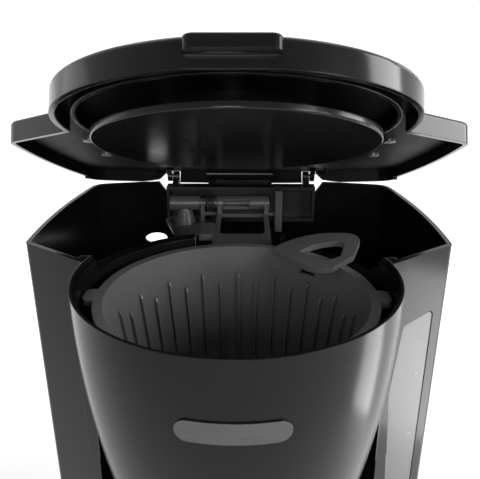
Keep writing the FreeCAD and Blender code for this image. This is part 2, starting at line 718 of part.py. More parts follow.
def tube_bracket():
    """Bridge with a drain window from the holder's back wall to the hinge block; it carries the tube."""
    top = RIM_Z - BRIDGE_DROP
    low = top - BRIDGE_THICK
    left, right = -16.0, 19.0
    flat = box(left, right, 20.0, BLOCK_FRONT_Y, low, top)
    flat = flat.fuse(box(left - 8.5, left + 1, 51.0, 74.0, low, top)).cut(post(71.9, 0, 400))
    tongue = ring(72.0, 67.6, low, top).fuse(ring(69.6, 67.6, low - 3.0, top))
    tongue = tongue.common(box(-6.5, 7.2, 0, 60, 0, 400))
    window = box(-12.6, 15.5, 57.0, 96.0, low - 1, top + 1)
    edges = [e for e in window.Edges if abs(e.Length - BRIDGE_THICK - 2) < 0.01 and e.BoundBox.YMax < 60]
    flat = flat.cut(window.makeFillet(3.5, edges))
    block = box(left - 8.5, left - 0.5, 51.0, 74.0, top - 0.2, top + 1.6)
    saddles = [box(x - 1.5, x + 1.5, 96.5, BLOCK_FRONT_Y, top - 0.2, TUBE_Z) for x in (-14.0, 17.5)]
    ear = box(23.0, 28.2, 97.0, BLOCK_FRONT_Y, RIM_Z - 28.0, RIM_Z + 0.6)
    ear = ear.makeFillet(1.2, [e for e in ear.Edges if abs(e.Length - ear.BoundBox.ZLength) < 0.01])
    ear = ear.fuse(box(right - 1.0, 24.0, 99.0, BLOCK_FRONT_Y, low, top))
    clip = box(-27.0, -24.2, 97.4, BLOCK_FRONT_Y, RIM_Z - SOCKET_DROP + 0.1, TUBE_Z)
    clip = clip.fuse(box(-27.0, left + 0.5, 100.0, BLOCK_FRONT_Y, low, top))
    solid = fused([flat, tongue, block, ear, clip] + saddles)
    return solid.cut(rod_x(TUBE_R + 0.05, TUBE_LEFT - 5, SPOUT_RIGHT + 0.4, TUBE_Y, TUBE_Z))


# ---------------------------------------------------------------- basket

def basket_profile():
    """Wall of the basket as (radius, height): down the outside, across the floor, up the inside."""
    def at(r, drop):
        return (r, RIM_Z - drop)
    skin = 1.9
    floor = BASKET_FLOOR_DROP
    return [at(BASKET_TOP_R, RING_DROP), at(RING_R, RING_DROP), at(RING_R, RING_DROP + 2.3),
            at(BASKET_TOP_R + skin, RING_DROP + 2.3), at(BASKET_FLOOR_R + skin, floor - 7.0),
            (at(BASKET_FLOOR_R - 0.4, floor - 0.5), at(BASKET_FLOOR_R - 6.0, floor + skin)),
            at(0.0, floor + skin), at(0.0, floor),
            at(BASKET_FLOOR_R - 6.5, floor),
            (at(BASKET_FLOOR_R - 1.8, floor - 1.9), at(BASKET_FLOOR_R, floor - 7.5)),
            at(BASKET_TOP_R, RING_DROP)]


def basket_rib(i):
    """One upright rib on the inside of the wall; every second one is shorter."""
    top = 25.0 if i % 2 == 0 else 30.5
    half = 0.75
    slope = (BASKET_TOP_R - BASKET_FLOOR_R) / (BASKET_FLOOR_DROP - 7.5 - RING_DROP)

    def wall_r(drop):
        return BASKET_TOP_R - slope * (drop - RING_DROP)

    low = BASKET_FLOOR_DROP - 8.0
    outline = [(wall_r(top) + 0.5, RIM_Z - top), (wall_r(top) - 1.0, RIM_Z - top - 1.0),
               (wall_r(top + 3.0) - 1.8, RIM_Z - top - 3.0), (wall_r(low) - 1.8, RIM_Z - low),
               (BASKET_FLOOR_R - 8.0, RIM_Z - BASKET_FLOOR_DROP + 1.5),
               (14.0, RIM_Z - BASKET_FLOOR_DROP + 1.5), (13.0, RIM_Z - BASKET_FLOOR_DROP - 0.5),
               (BASKET_FLOOR_R - 6.5, RIM_Z - BASKET_FLOOR_DROP - 0.5),
               (wall_r(low) + 0.5, RIM_Z - low), (wall_r(top) + 0.5, RIM_Z - top)]
    rib = slab_xz(outline, BOWL_Y - half, 2 * half)
    rib.rotate(AXIS, UP, 90.0 + i * 360.0 / RIB_COUNT)
    return rib


BASKET_SEAM_Z = RIM_Z - BASKET_FLOOR_DROP + 7.5    # the floor starts where the wall curves inward


def basket():
    """Wall of the basket with its rim, its two resting lugs and a slot beside the handle."""
    wall = spun(basket_profile()).common(box(-80, 80, -120, 60, BASKET_SEAM_Z, RIM_Z))
    lugs = []
    for side in (1, -1):
        x0, x1 = sorted((side * 63.0, side * 70.6))
        lug = box(x0, x1, BOWL_Y - 7.5, BOWL_Y + 4.5, RIM_Z - RING_DROP - 3.2, RIM_Z - RING_DROP)
        ends = [e for e in lug.Edges if abs(e.Length - 3.2) < 0.01 and abs(e.CenterOfMass.x) > 70]
        lugs.append(lug.makeFillet(3.0, ends).cut(post(BASKET_TOP_R + 0.5, 0, RIM_Z)))
    slot = box(-4.7, 4.7, BOWL_Y + 52.0, BOWL_Y + 70.0, RIM_Z - RING_DROP - 10.8, RIM_Z - RING_DROP - 5.4)
    slot.rotate(AXIS, UP, -38.7)
    return fused([wall] + lugs).cut(slot)


def basket_floor():
    """Floor of the basket, with the boss of the drip-stop valve."""
    low = RIM_Z - BASKET_FLOOR_DROP - 1.9
    floor = spun(basket_profile()).common(box(-80, 80, -120, 60, 0, BASKET_SEAM_Z))
    boss = ring(VALVE_BOSS_R, 8.0, low - 24.0, low + 0.5)
    return fused([floor, boss]).cut(post(5.2, low - 1, RIM_Z))


def basket_ribs():
    ribs = Part.makeCompound([basket_rib(i) for i in range(RIB_COUNT)])
    return ribs.cut(spun(basket_profile()))


HANDLE_AZIMUTH = 50.6
HANDLE_SLOPE = 0.2


def handle_place(s, t, lift):
    """Point of the handle plate: s outward from the basket's axis, t to the right of that."""
    a = math.radians(HANDLE_AZIMUTH)
    return V(s * math.sin(a) + t * math.cos(a), BOWL_Y + s * math.cos(a) - t * math.sin(a),
             RIM_Z - RING_DROP + HANDLE_SLOPE * (s - 50.0) + lift)


def basket_handle():
    """Teardrop plate that slopes up over the holder's wall, with a finger hole."""
    thick = 3.2
    outline = [(50.6, -32.5), ((72.0, -27.0), (85.4, -12.5)), ((87.3, -5.0), (82.0, 2.5)), (70.5, 9.0),
               (55.5, 8.4), ((50.6, 2.5), (49.3, -8.0)), (50.6, -32.5)]
    hole = [(57.3, -17.5), ((68.0, -15.4), (75.2, -10.0)), ((77.4, -6.2), (75.2, -2.2)), (66.5, 3.6),
            ((60.8, 1.6), (57.6, -4.0)), (57.3, -17.5)]

    def prism(path, low, high):
        wire = path_wire(path, lambda s, t: handle_place(s, t, low))
        return Part.Face(wire).extrude(V(0, 0, high - low))

    plate_solid = prism(outline, -thick + 0.2, 0.2)
    ring_clear = post(RING_R, RIM_Z - RING_DROP - 2.3, RIM_Z - RING_DROP)
    ring_clear = ring_clear.cut(post(BASKET_TOP_R, 0, RIM_Z))
    wall = spun(basket_profile())
    solid = plate_solid.cut(prism(hole, -thick - 1, 2)).cut(ring_clear).cut(wall)
    return max(solid.Solids, key=lambda one: one.Volume)


# ---------------------------------------------------------------- drip-stop valve

SEAT_Z = RIM_Z - BASKET_FLOOR_DROP


def valve_seat():
    """Soft ring in the basket floor that the plunger closes on."""
    seat = ring(5.2, 3.6, SEAT_Z - 1.9, SEAT_Z)
    return seat.fuse(ring(7.6, 3.6, SEAT_Z, SEAT_Z + 0.8)).removeSplitter()


def valve_plunger():
    low = RIM_Z - VALVE_TIP_DROP
    head = Part.makeCone(6.2, 3.0, 2.2, V(0, BOWL_Y, SEAT_Z + 1.1), UP)
    head = head.fuse(post(1.1, SEAT_Z + 3.0, SEAT_Z + 12.0))
    stem = post(2.3, low + 4.0, SEAT_Z + 1.2)
    tip = rounded_edges_at(post(4.0, low, low + 5.0), 1.5, low)
    flange = post(6.6, low + 12.0, low + 13.4)
    return fused([head, stem, tip, flange])


def valve_spring():
    z0, z1 = RIM_Z - VALVE_TIP_DROP + 13.6, SEAT_Z - 2.1
    turns, wire = 5.0, 0.5
    pitch = (z1 - z0 - 2 * wire - 0.2) / turns
    helix = Part.makeHelix(pitch, turns * pitch, 4.4)
    helix.translate(V(0, BOWL_Y, z0 + wire + 0.1))
    circle = Part.Wire(Part.makeCircle(wire, V(4.4, BOWL_Y, z0 + wire + 0.1), V(0, 1, 0)))
    return Part.Wire(helix.Edges).makePipeShell([circle], True, True)


# ---------------------------------------------------------------- base

def base_wire(inset, z):
    """Plan of the base: the column's back and sides, and a round front."""
    s = shrink_at(COLUMN_FOOT)
    wx = (HALF_WIDTH - inset / s) * s
    by = BACK_CORNER_Y - inset
    bx = (BACK_HALF_WIDTH - inset / s) * s
    my, mx = by / 2, ((HALF_WIDTH + BACK_HALF_WIDTH) / 2 + SIDE_BULGE - inset / s) * s
    r = wx
    front_y = BASE_FRONT_Y + inset
    cy = BASE_FRONT_Y + BASE_FRONT_R
    side_y = cy
    k = math.sqrt(0.5)
    depth = cy - front_y
    back = [(wx, 0.0), ((mx, my), (bx, by)), ((0.0, BACK_MID_Y - inset), (-bx, by)), ((-mx, my), (-wx, 0.0))]
    left_mid, right_mid = (-r * k, cy - depth * k), (r * k, cy - depth * k)
    front = [(-wx, side_y), (left_mid, (0.0, front_y)), (right_mid, (wx, side_y)), (wx, 0.0)]
    return path_wire(back + front, lambda x, y: V(x, y, z))


def base_block(inset, z0, z1):
    solid = Part.Face(base_wire(inset, z0)).extrude(V(0, 0, z1 - z0))
    s = shrink_at(COLUMN_FOOT)
    bx, by = BACK_HALF_WIDTH * s - inset, BACK_CORNER_Y - inset
    return rounded_uprights(solid, BACK_ROUND - inset, [(bx, by), (-bx, by)])


SWITCH_Z = 21.5
SWITCH_HALF = (11.0, 7.5)    # rocker's half width and half height
DECK_HOLE_R = 66.0


def base_shell():
    outer = base_block(0.0, BASE_BOTTOM, BASE_TOP)
    deck = outer.cut(base_block(WALL, BASE_BOTTOM - 1, BASE_TOP - WALL))
    front_rim = [e for e in deck.Edges if abs(e.BoundBox.ZMin - BASE_TOP) < 0.01 and abs(
        e.BoundBox.ZMax - BASE_TOP) < 0.01 and e.BoundBox.YMax < 1.0]
    deck = deck.makeFillet(2.0, front_rim)
    deck = deck.cut(post(DECK_HOLE_R, BASE_TOP - 8, BASE_TOP + 1))
    under = column_block(WALL + 0.5, BASE_TOP - WALL - 1, BASE_TOP + 1, 1.5, 6.0)
    deck = deck.cut(under.common(box(-120, 120, 52.0, 140, 0, 99)))
    front = box(-SWITCH_HALF[0] - 2.0, SWITCH_HALF[0] + 2.0, BASE_FRONT_Y - 3, BASE_FRONT_Y + 8,
                SWITCH_Z - SWITCH_HALF[1] - 2.0, SWITCH_Z + SWITCH_HALF[1] + 2.0)
    deck = deck.cut(front)
    deck = deck.cut(rod_y(INLET_R, 110.0, 140.0, INLET_X, INLET_Z))
    bosses = [ring(4.0, 1.4, BASE_BOTTOM + 2.6, BASE_TOP - WALL + 0.2, x, y) for x, y in screw_spots()]
    return fused([deck] + bosses)


def screw_spots():
    return [(84.0, 44.0), (-84.0, 44.0), (62.0, -100.0), (-62.0, -100.0)]


def foot_spots():
    return [(82.0, 92.0), (-82.0, 92.0), (66.0, -78.0), (-66.0, -78.0)]


def bottom_cover():
    cover = base_block(WALL + 0.3, BASE_BOTTOM, BASE_BOTTOM + 2.4)
    for x, y in screw_spots():
        cover = cover.cut(post(1.8, 0, 10, x, y)).cut(post(3.6, 0, BASE_BOTTOM + 1.4, x, y))
    for i in range(7):
        x = -36.0 + 12.0 * i
        cover = cover.cut(box(x - 2.0, x + 2.0, -20.0, 20.0, 0, 10))
    for x, y in foot_spots():
        cover = cover.cut(post(8.1, 0, BASE_BOTTOM + 1.0, x, y))
    return cover


def feet():
    pads = []
    for x, y in foot_spots():
        pads.append(rounded_edges_at(post(8.0, 0.0, BASE_BOTTOM + 1.0, x, y), 0.8, 0.0))
    return Part.makeCompound(pads)


def cover_screws():
    screws = []
    for x, y in screw_spots():
        head = post(3.4, BASE_BOTTOM - 0.2, BASE_BOTTOM + 1.4, x, y)
        cross = [box(x - 2, x + 2, y - 0.4, y + 0.4, 0, BASE_BOTTOM + 0.6),
                 box(x - 0.4, x + 0.4, y - 2, y + 2, 0, BASE_BOTTOM + 0.6)]
        screws.append(head.fuse(post(1.4, BASE_BOTTOM + 1.4, 16.0, x, y)).cut(cross[0]).cut(cross[1]))
    return Part.makeCompound(screws)


def warming_plate():
    """Pressed steel plate with a turned-down edge."""
    skin = 1.2
    corner = 1.8 * (1 - math.sqrt(0.5))
    path = [(0.0, PLATE_TOP - skin), (PLATE_R - 3.0, PLATE_TOP - skin), (PLATE_R - skin, PLATE_TOP - 3.0),
            (PLATE_R - skin, PLATE_TOP - 5.5), (PLATE_R, PLATE_TOP - 5.5), (PLATE_R, PLATE_TOP - 1.8),
            ((PLATE_R - corner, PLATE_TOP - corner), (PLATE_R - 1.8, PLATE_TOP)), (0.0, PLATE_TOP),
            (0.0, PLATE_TOP - skin)]
    return spun(path)


def plate_ring():
    """Soft ring between the plate and the deck."""
    path = [(PLATE_R, BASE_TOP - 3.4), (DECK_HOLE_R - 0.1, BASE_TOP - 3.4), (DECK_HOLE_R - 0.1, BASE_TOP),
            (DECK_HOLE_R + 2.6, BASE_TOP), (DECK_HOLE_R + 1.8, BASE_TOP + 1.0), (PLATE_R, BASE_TOP + 1.0),
            (PLATE_R, BASE_TOP - 3.4)]
    return spun(path)


# ---------------------------------------------------------------- heater under the plate

HEATER_TOP = PLATE_TOP - 1.2
HEATER_LOW = HEATER_TOP - 17.0
PIPE_Z = HEATER_LOW + 5.5
ROD_Z = HEATER_TOP - 5.5
ROD_R = 3.2
HEATER_R = (31.0, 54.0)
PIPE_AT, ROD_AT = 47.5, 36.0     # distance of the water pipe and of the element from the axis
CASTING_END_Y = -12.0


def u_path(r, end_y, z):
    right, front, left = V(r, BOWL_Y, z), V(0, BOWL_Y - r, z), V(-r, BOWL_Y, z)
    return Part.Wire([line(V(r, end_y, z), right), arc(right, front, left), line(left, V(-r, end_y, z))])


def u_rod(at, end_y, z, r):
    circle = Part.Wire(Part.makeCircle(r, V(at, end_y, z), V(0, -1, 0)))
    return u_path(at, end_y, z).makePipeShell([circle], True, True)


def heater_casting():
    half_ring = ring(HEATER_R[1], HEATER_R[0], HEATER_LOW, HEATER_TOP)
    half_ring = half_ring.common(box(-60, 60, BOWL_Y - 60, BOWL_Y, 0, 99))
    legs = both_sides(box(HEATER_R[0], HEATER_R[1], BOWL_Y, CASTING_END_Y, HEATER_LOW, HEATER_TOP))
    solid = fused([half_ring] + legs)
    solid = solid.cut(u_rod(PIPE_AT, CASTING_END_Y + 1, PIPE_Z, SPIGOT_R))
    return solid.cut(u_rod(ROD_AT, CASTING_END_Y + 1, ROD_Z, ROD_R))


def heater_pipe():
    end = CASTING_END_Y + 17.0
    return u_rod(PIPE_AT, end, PIPE_Z, SPIGOT_R).cut(u_rod(PIPE_AT, end, PIPE_Z, SPIGOT_BORE))


def heating_element():
    rod = u_rod(ROD_AT, CASTING_END_Y + 8.0, ROD_Z, ROD_R)
    tabs = both_sides(box(ROD_AT - 2.4, ROD_AT + 2.4, CASTING_END_Y + 8.0, CASTING_END_Y + 16.0,
                          ROD_Z - 0.4, ROD_Z + 0.4))
    return fused([rod] + tabs)


def inlet_hose():
    start = CASTING_END_Y + 4.0
    return hose([(PIPE_AT, start, PIPE_Z), (PIPE_AT, 56.0, PIPE_Z), (OUTLET_X, OUTLET_Y, 22.0),
                 (OUTLET_X, OUTLET_Y, TANK_FLOOR - 5.0)], 12.0, HOSE_R, SPIGOT_R)


def riser_hose():
    start = CASTING_END_Y + 4.0
    return hose([(-PIPE_AT, start, PIPE_Z), (-PIPE_AT, 60.0, PIPE_Z), (RISER_X, TUBE_Y, 22.0),
                 (RISER_X, TUBE_Y, RIM_Z - 33.4)], 12.0, HOSE_R, SPIGOT_R)


def hose_clamps():
    """Spring clamps on the two heater ends of the hoses."""
    clamps = []
    for side in (1, -1):
        x, y, z = side * PIPE_AT, CASTING_END_Y + 10.0, PIPE_Z
        band = rod_y(HOSE_R + 1.0, y - 3, y + 3, x, z)
        ears = box(x - 3.4, x + 3.4, y - 3, y + 3, z - HOSE_R - 4.5, z - HOSE_R + 0.3)
        ears = ears.cut(box(x - 2.4, x + 2.4, y - 4, y + 4, z - HOSE_R - 5, z))
        clamps.append(band.fuse(ears).cut(rod_y(HOSE_R, y - 4, y + 4, x, z)))
    return Part.makeCompound(clamps)


def tank_outlet():
    """Flanged spigot in the tank floor, with the seat of the one-way ball."""
    z = TANK_FLOOR
    body = fused([post(10.0, z, z + 1.8, OUTLET_X, OUTLET_Y), post(6.9, z - 3.0, z, OUTLET_X, OUTLET_Y),
                  post(SPIGOT_R, z - 14.0, z - 3.0, OUTLET_X, OUTLET_Y)])
    return body.cut(post(SPIGOT_BORE, z - 15.0, z + 3.0, OUTLET_X, OUTLET_Y))


def check_ball():
    return Part.makeSphere(2.6, V(OUTLET_X, OUTLET_Y, TANK_FLOOR - 8.0))


def riser_grommet():
    return ring(10.0, HOSE_R, TANK_FLOOR, TANK_FLOOR + 3.0, RISER_X, TUBE_Y)


def thermostat():
    x, y = 0.0, BOWL_Y - (HEATER_R[0] + HEATER_R[1]) / 2
    flange = post(8.5, HEATER_LOW - 4.0, HEATER_LOW, x, y)
    can = flange.fuse(post(7.0, HEATER_LOW - 9.0, HEATER_LOW - 4.0, x, y)).removeSplitter()
    tabs = [box(x + s * 4.0 - 0.4, x + s * 4.0 + 0.4, y - 2.5, y + 2.5, HEATER_LOW - 15.0, HEATER_LOW - 9.0)
            for s in (1, -1)]
    return fused([can] + tabs)


def thermal_fuse():
    """Fuse in its sleeve along the right leg of the heater, held by a strap."""
    x, z = 42.5, HEATER_LOW - 3.0
    sleeve = rod_y(2.6, -44.0, -10.0, x, z)
    strap = fused([box(x - 8.0, x - 3.4, -30.0, -22.0, HEATER_LOW - 1.0, HEATER_LOW),
                   box(x + 3.4, x + 8.0, -30.0, -22.0, HEATER_LOW - 1.0, HEATER_LOW),
                   box(x - 4.4, x + 4.4, -30.0, -22.0, z - 3.6, HEATER_LOW).cut(
                       box(x - 3.4, x + 3.4, -31.0, -21.0, z - 2.6, HEATER_LOW + 1))])
    return Part.makeCompound([sleeve, strap])


# ---------------------------------------------------------------- switch and inlet

ROCKER_PIVOT_Y = BASE_FRONT_Y + 7.0


def switch_bezel():
    """Frame in the front of the base, curved to its face, with the switch box behind."""
    w, h = SWITCH_HALF[0] + 2.0, SWITCH_HALF[1] + 2.0
    frame = box(-w + 0.05, w - 0.05, BASE_FRONT_Y - 0.8, BASE_FRONT_Y + 22.0,
                SWITCH_Z - h + 0.05, SWITCH_Z + h - 0.05)
    room = box(-SWITCH_HALF[0] - 0.4, SWITCH_HALF[0] + 0.4, BASE_FRONT_Y - 3, BASE_FRONT_Y + 16.0,
               SWITCH_Z - SWITCH_HALF[1] - 0.6, SWITCH_Z + SWITCH_HALF[1] + 0.6)
    pin = rod_x(1.5, -w + 1, w - 1, ROCKER_PIVOT_Y, SWITCH_Z)
    tabs = [box(x - 0.4, x + 0.4, BASE_FRONT_Y + 22.0, BASE_FRONT_Y + 30.0, SWITCH_Z - 3, SWITCH_Z + 3)
            for x in (-7.0, 0.0, 7.0)]
    return fused([frame.cut(room), pin] + tabs)


def rocker_switch():
    """Rocker on a cross pin; its upper half stands out when it is off."""
    w, h = SWITCH_HALF
    face = BASE_FRONT_Y - 1.0
    top_edge = (face - 0.6, SWITCH_Z + h - 1.9)
    hollow = [(face + 1.3, SWITCH_Z), (face + 2.6, SWITCH_Z - h + 1.2)]
    back_y = ROCKER_PIVOT_Y + 1.0
    outline = [top_edge, tuple(hollow), (back_y, SWITCH_Z - h + 2.0), (ROCKER_PIVOT_Y + 3.2, SWITCH_Z),
               (back_y, SWITCH_Z + h - 2.5), top_edge]
    side = slab_yz(outline, -w, 2 * w)
    return side.cut(rod_x(1.55, -w - 1, w + 1, ROCKER_PIVOT_Y, SWITCH_Z)).cut(lens_cutter(0.05))


def lens_cutter(grow):
    return box(-4.5 - grow, 4.5 + grow, BASE_FRONT_Y - 4.0, BASE_FRONT_Y + 1.2 + grow,
               SWITCH_Z + 2.2 - grow, SWITCH_Z + 5.0 + grow)


def switch_lens():
    """Clear lens of the pilot lamp, let into the rocker."""
    return lens_cutter(0.0).cut(box(-9, 9, BASE_FRONT_Y - 9, BASE_FRONT_Y - 1.1, 0, 99))


def cord_inlet():
    """Bushing that the power cord would pass through."""
    back = rear_y(INLET_X)
    body = fused([rod_y(INLET_R - 0.05, back - 6.0, back + 0.5, INLET_X, INLET_Z),
                  rod_y(INLET_R + 2.5, back + 0.9, back + 2.6, INLET_X, INLET_Z),
                  rod_y(INLET_R - 0.05, back, back + 1.0, INLET_X, INLET_Z)])
    wall = base_block(0.0, BASE_BOTTOM, BASE_TOP).cut(rod_y(INLET_R, 100, 140, INLET_X, INLET_Z))
    return body.cut(wall).cut(rod_y(3.6, back - 9, back + 9, INLET_X, INLET_Z))


def rear_y(x):
    """Back face of the base at x, on the arc through its corners and its middle."""
    half = BACK_HALF_WIDTH * shrink_at(COLUMN_FOOT)
    sag = BACK_MID_Y - BACK_CORNER_Y
    r = (half * half + sag * sag) / (2 * sag)
    return BACK_MID_Y - r + math.sqrt(r * r - x * x)


# ---------------------------------------------------------------- carafe

def glass_path(inset):
    """Side of the carafe as (radius, height) from its foot to its mouth."""
    z = GLASS_BOTTOM
    return [(56.0 - 0.4 * inset, z + inset),
            ((65.5 - 0.8 * inset, z + 6.5 + 0.5 * inset), (GLASS_R - inset, z + 24.0)),
            ((66.0 - inset, z + 64.0), (NECK_R + 1.5 - inset, NECK_Z - 9.0)),
            (NECK_R - inset, NECK_Z)]


def carafe_glass():
    z = GLASS_BOTTOM
    outer = glass_path(0.0) + [(0.0, NECK_Z), (0.0, z), (56.0, z)]
    inner = glass_path(GLASS_WALL) + [(NECK_R - GLASS_WALL, NECK_Z + 1), (0.0, NECK_Z + 1),
                                      (0.0, z + GLASS_WALL), (56.0 - 0.4 * GLASS_WALL, z + GLASS_WALL)]
    return spun(outer).cut(spun(inner))


BAND_Z = (NECK_Z - 8.0, NECK_Z + 1.5)


def carafe_band():
    """Collar round the neck that carries the handle and the pouring lip."""
    r = NECK_R + 1.9
    path = [(r, BAND_Z[0]), (r + 1.8, BAND_Z[0]), (r + 1.8, BAND_Z[1] + 3.0), (NECK_R - 2.0, BAND_Z[1] + 3.0),
            (NECK_R - 2.0, NECK_Z + 0.2), (r, NECK_Z + 0.2), (r, BAND_Z[0])]
    return spun(path)


HANDLE_HALF = 9.0


def carafe_handle():
    """D-shaped handle at the front, bolted to the neck collar."""
    r = BOWL_Y - (NECK_R + 3.7)
    outer_y = BASE_FRONT_Y - 1.4
    top = BAND_Z[1] + 3.0
    path = [(r, top - 0.2), (outer_y + 14.0, top - 0.2),
            ((outer_y + 4.0, top - 4.2), (outer_y, top - 14.0)), (outer_y, 84.0),
            ((outer_y + 4.0, 80.0), (outer_y + 8.0, 84.0)), (outer_y + 8.0, top - 20.0),
            ((outer_y + 10.0, top - 13.0), (outer_y + 17.0, top - 10.0)), (r, top - 10.0), (r, top - 0.2)]
    solid = slab_yz(path, -HANDLE_HALF, 2 * HANDLE_HALF)
    sides = [e for e in solid.Edges if abs(e.CenterOfMass.x) > HANDLE_HALF - 0.1]
    rounds = [e for e in sides if e.CenterOfMass.y < r - 3]
    solid = solid.makeFillet(2.4, rounds)
    return solid.cut(post(NECK_R + 3.75, 0, 300)).cut(rod_y(1.9, -200, 0, 0, top - 5.0))


def handle_screw():
    z = BAND_Z[1] - 2.0
    front = BOWL_Y - (NECK_R + 3.7)
    y0 = BASE_FRONT_Y + 6.0
    return fused([rod_y(1.85, y0 + 2.0, front, 0, z), rod_y(1.85, y0, y0 + 2.1, 0, z)])


def carafe_lid():
    """Twist lid: a plug in the collar, a domed cap with a middle well, and a thumb tongue."""
    cap_low = BAND_Z[1] + 3.4
    cap_r = NECK_R + 3.4
    plug = NECK_R - 2.6
    path = [(plug - 2.4, BAND_Z[0] + 2.0), (plug, BAND_Z[0] + 2.0), (plug, cap_low), (cap_r, cap_low),
            (cap_r, cap_low + 8.0), ((cap_r - 3.4, cap_low + 13.5), (cap_r - 9.5, CARAFE_TOP)),
            (30.0, CARAFE_TOP), (26.0, CARAFE_TOP - 4.0), (5.0, CARAFE_TOP - 5.0),
            (5.0, CARAFE_TOP - 7.4), (cap_r - 10.0, CARAFE_TOP - 6.4), (plug - 2.4, cap_low + 6.0),
            (plug - 2.4, BAND_Z[0] + 2.0)]
    tip_y = BOWL_Y - NECK_R - 18.0
    tongue = box(-8.0, 8.0, tip_y, BOWL_Y - NECK_R + 1.0, cap_low, cap_low + 3.0)
    ends = [e for e in tongue.Edges if abs(e.Length - 3.0) < 0.01 and e.BoundBox.YMax < tip_y + 1]
    tongue = tongue.makeFillet(5.0, ends).cut(post(plug, 0, 300))
    return spun(path).fuse(tongue).removeSplitter()


# ---------------------------------------------------------------- output

NODES = {
    "main_housing": main_housing, "bay_wall": bay_wall, "tank_floor": tank_floor, "holder_ring": holder_ring,
    "brew_bowl": brew_bowl, "bowl_floor": bowl_floor, "badge_plate": badge_plate,
    "water_window": water_window, "window_seal": window_seal,
    "lid_shell": lid_shell, "lid_liner": lid_liner, "liner_skirt": liner_skirt, "disc_cup": disc_cup,
    "thumb_tab": thumb_tab, "spray_disc": spray_disc,
    "spray_neck": spray_neck, "lid_screws": lid_screws,
    "hinge_block": hinge_block, "hinge_pins": hinge_pins, "water_tube": water_tube,
    "spout_tube": spout_tube, "tube_seals": tube_seals, "riser_socket": riser_socket,
    "tube_bracket": tube_bracket,
    "basket": basket, "basket_floor": basket_floor, "basket_ribs": basket_ribs,
    "basket_handle": basket_handle, "valve_seat": valve_seat,
    "valve_plunger": valve_plunger, "valve_spring": valve_spring,
    "base_shell": base_shell, "bottom_cover": bottom_cover, "feet": feet, "cover_screws": cover_screws,
    "warming_plate": warming_plate, "plate_ring": plate_ring,
    "heater_casting": heater_casting, "heater_pipe": heater_pipe, "heating_element": heating_element,
    "inlet_hose": inlet_hose, "riser_hose": riser_hose, "hose_clamps": hose_clamps,
    "tank_outlet": tank_outlet, "check_ball": check_ball, "riser_grommet": riser_grommet,
    "thermostat": thermostat, "thermal_fuse": thermal_fuse,
    "switch_bezel": switch_bezel, "rocker_switch": rocker_switch, "switch_lens": switch_lens,
    "cord_inlet": cord_inlet,
    "carafe_glass": carafe_glass, "carafe_band": carafe_band, "carafe_handle": carafe_handle,
    "handle_screw": handle_screw, "carafe_lid": carafe_lid,
}


def main():
    os.makedirs("parts", exist_ok=True)
    for name, make in NODES.items():
        make().exportStep("parts/" + name + ".step")


main()
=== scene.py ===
import bpy, bmesh, json, math
from mathutils import Vector, Matrix
from mathutils.bvhtree import BVHTree


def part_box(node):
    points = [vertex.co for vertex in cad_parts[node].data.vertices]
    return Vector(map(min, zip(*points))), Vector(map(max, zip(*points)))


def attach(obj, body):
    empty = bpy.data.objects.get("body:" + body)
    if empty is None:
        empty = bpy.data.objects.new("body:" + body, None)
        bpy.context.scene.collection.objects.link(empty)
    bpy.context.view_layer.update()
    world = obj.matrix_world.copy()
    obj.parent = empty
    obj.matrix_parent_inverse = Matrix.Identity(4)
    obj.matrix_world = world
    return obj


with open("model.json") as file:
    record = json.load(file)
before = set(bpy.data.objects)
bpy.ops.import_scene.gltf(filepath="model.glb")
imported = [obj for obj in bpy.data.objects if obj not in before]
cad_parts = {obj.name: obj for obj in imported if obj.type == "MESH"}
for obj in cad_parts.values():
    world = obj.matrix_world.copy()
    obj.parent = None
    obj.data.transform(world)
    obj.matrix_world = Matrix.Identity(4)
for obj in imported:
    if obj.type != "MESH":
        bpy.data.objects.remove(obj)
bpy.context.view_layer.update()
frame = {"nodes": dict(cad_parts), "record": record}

# Looks of a drip coffee maker with its lid ajar: materials for its CAD nodes, small details laid on their
# surfaces, the stage, the lights and the camera. Lengths are metres, in the CAD's own frame.

NODES = frame["nodes"]


# ---------------------------------------------------------------- materials

BEVEL_SAMPLES = 4
GRAIN_DEPTH = 0.0002     # of the fine relief on moulded, drawn and cast surfaces


def new_material(name):
    """A node material with its shader and its texture coordinates."""
    mat = bpy.data.materials.new(name)
    mat.use_nodes = True
    nodes, links = mat.node_tree.nodes, mat.node_tree.links
    shader = nodes["Principled BSDF"]
    place = nodes.new("ShaderNodeTexCoord")
    return mat, nodes, links, shader, place


def noise(nodes, links, place, scale, detail=3.0, rough=0.5):
    """Noise texture in the object's own coordinates."""
    tex = nodes.new("ShaderNodeTexNoise")
    tex.inputs["Scale"].default_value = scale
    tex.inputs["Detail"].default_value = detail
    tex.inputs["Roughness"].default_value = rough
    links.new(place.outputs["Object"], tex.inputs["Vector"])
    return tex


def ramp(nodes, links, source, low, high, stops=(0.3, 0.7)):
    """Maps a grey source to a range of colours."""
    node = nodes.new("ShaderNodeValToRGB")
    node.color_ramp.elements[0].position = stops[0]
    node.color_ramp.elements[0].color = low
    node.color_ramp.elements[1].position = stops[1]
    node.color_ramp.elements[1].color = high
    links.new(source, node.inputs["Fac"])
    return node.outputs["Color"]


def grey(v):
    return (v, v, v, 1.0)


def bumped(nodes, links, shader, height, strength, distance, edge=0.0):
    """Fine relief, over edges that are softened by a small radius."""
    bump = nodes.new("ShaderNodeBump")
    bump.inputs["Strength"].default_value = strength
    bump.inputs["Distance"].default_value = distance
    links.new(height, bump.inputs["Height"])
    if edge:
        soft = nodes.new("ShaderNodeBevel")
        soft.samples = BEVEL_SAMPLES
        soft.inputs["Radius"].default_value = edge
        links.new(soft.outputs["Normal"], bump.inputs["Normal"])
    links.new(bump.outputs["Normal"], shader.inputs["Normal"])


